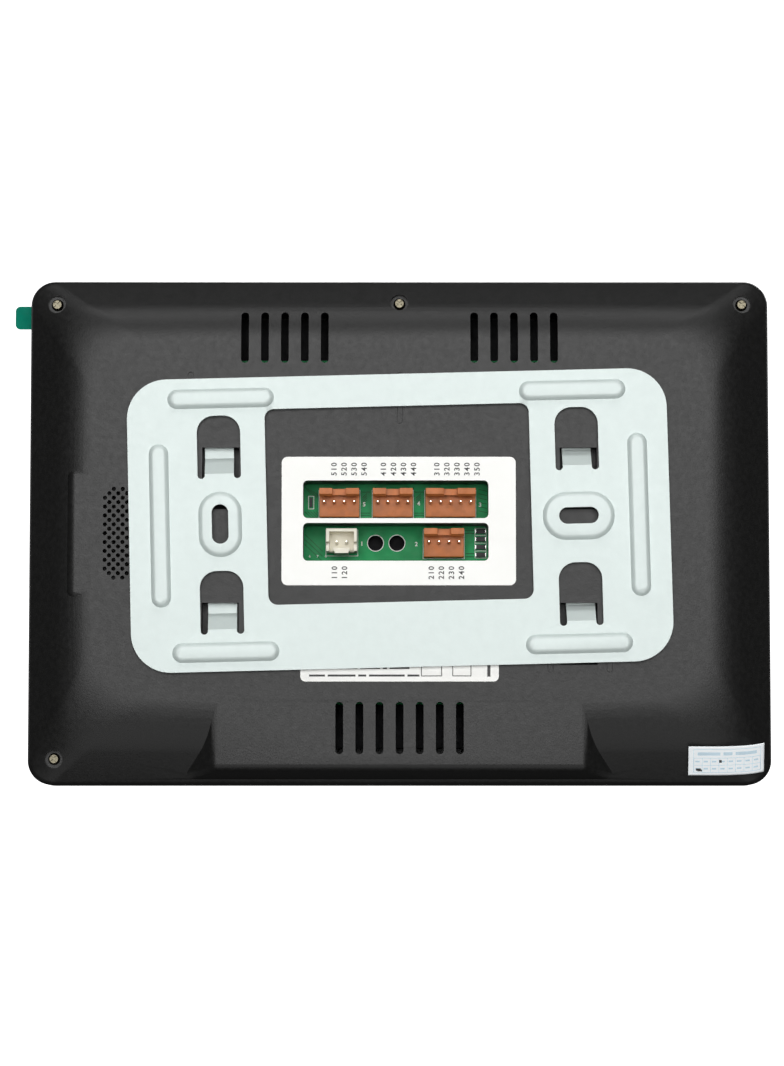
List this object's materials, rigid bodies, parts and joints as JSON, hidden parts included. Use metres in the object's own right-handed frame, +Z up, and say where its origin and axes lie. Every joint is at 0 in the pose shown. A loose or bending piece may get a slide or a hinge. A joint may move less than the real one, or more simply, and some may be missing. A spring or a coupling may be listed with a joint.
{
  "type": "video intercom monitor",
  "caption": "Indoor video intercom monitor that hangs on a pressed-steel wall bracket, with a rear terminal board, speaker grille, vents and front keys.",
  "frame": {"origin": "on the wall plane, midway between the two wall-screw slots of the bracket", "axes": "+X to the right seen from the wall, +Y from the wall into the room, +Z up"},
  "size_m": [0.1943, 0.0265, 0.129],
  "materials": {
    "bracket_steel": "satin pale blue-grey powder coat over galvanised sheet",
    "housing_plastic": "fine spark-eroded texture",
    "screw_nickel": "bright nickel plate",
    "label_paper": "matt coated label",
    "seal_paper": "brittle seal paper with a pale blue grid",
    "board_laminate": "green solder mask",
    "header_brown": "brown nylon",
    "header_white": "natural nylon",
    "pin_tin": "tin plate",
    "chip_black": "moulded epoxy",
    "can_sleeve": "sleeved can",
    "connector_ivory": "nylon",
    "flex_amber": "polyimide",
    "ribbon_white": "flat cable",
    "brass": "turned",
    "film_black": "insulating film",
    "zinc_steel": "zinc plate",
    "display_glass": "polariser",
    "panel_black": "polished acrylic, printed black behind",
    "clear_film": "clear protective film",
    "tab_green": "tinted film",
    "speaker_steel": "black paint",
    "cone_paper": "pressed paper",
    "rubber_black": "soft rubber",
    "key_plastic": "satin",
    "light_clear": "clear"
  },
  "bodies": {
    "bracket": {"wall_bracket": "bracket_steel"},
    "monitor": {"rear_cover": "housing_plastic", "cover_screws": "screw_nickel", "terminal_label": "label_paper", "rating_label": "label_paper", "seal_sticker": "seal_paper", "main_board": "board_laminate", "header_p1": "header_white", "header_p2": "header_brown", "header_p3": "header_brown", "header_p4": "header_brown", "header_p5": "header_brown", "header_pins": "pin_tin", "protection_diodes": "chip_black", "processor_chip": "chip_black", "video_chip": "chip_black", "memory_chip": "chip_black", "amplifier_chip": "chip_black", "capacitors": "can_sleeve", "power_inductor": "chip_black", "crystal": "zinc_steel", "display_connector": "connector_ivory", "display_ribbon": "flex_amber", "key_connector": "connector_ivory", "key_ribbon": "ribbon_white", "board_screws": "screw_nickel", "board_standoffs": "brass", "insulator_sheet": "film_black", "chassis_plate": "zinc_steel", "chassis_screws": "screw_nickel", "lcd_backlight": "zinc_steel", "lcd_panel": "display_glass", "front_frame": "housing_plastic", "front_window": "panel_black", "screen_film": "clear_film", "film_pull_tab": "tab_green", "speaker_basket": "speaker_steel", "speaker_magnet": "zinc_steel", "speaker_cone": "cone_paper", "speaker_gasket": "rubber_black", "speaker_screws": "screw_nickel", "key_board": "board_laminate", "key_board_screws": "screw_nickel", "switch_bodies": "chip_black", "microphone": "zinc_steel", "microphone_boot": "rubber_black", "status_led": "connector_ivory", "light_pipe": "light_clear"},
    "talk_key": {"key_1": "key_plastic", "stem_1": "chip_black"},
    "unlock_key": {"key_2": "key_plastic", "stem_2": "chip_black"},
    "monitor_key": {"key_3": "key_plastic", "stem_3": "chip_black"},
    "up_key": {"key_4": "key_plastic", "stem_4": "chip_black"},
    "down_key": {"key_5": "key_plastic", "stem_5": "chip_black"}
  },
  "joints": [
    {"name": "lift_off_hooks", "type": "slide", "parent": "bracket", "child": "monitor", "axis": [0, 0, 1], "range_m": [0, 0.008]},
    {"name": "talk_key_press", "type": "slide", "parent": "monitor", "child": "talk_key", "axis": [0, -1, 0], "range_m": [0, 0.00035], "stiffness_N_per_m": 2500},
    {"name": "unlock_key_press", "type": "slide", "parent": "monitor", "child": "unlock_key", "axis": [0, -1, 0], "range_m": [0, 0.00035], "stiffness_N_per_m": 2500},
    {"name": "monitor_key_press", "type": "slide", "parent": "monitor", "child": "monitor_key", "axis": [0, -1, 0], "range_m": [0, 0.00035], "stiffness_N_per_m": 2500},
    {"name": "up_key_press", "type": "slide", "parent": "monitor", "child": "up_key", "axis": [0, -1, 0], "range_m": [0, 0.00035], "stiffness_N_per_m": 2500},
    {"name": "down_key_press", "type": "slide", "parent": "monitor", "child": "down_key", "axis": [0, -1, 0], "range_m": [0, 0.00035], "stiffness_N_per_m": 2500}
  ]
}
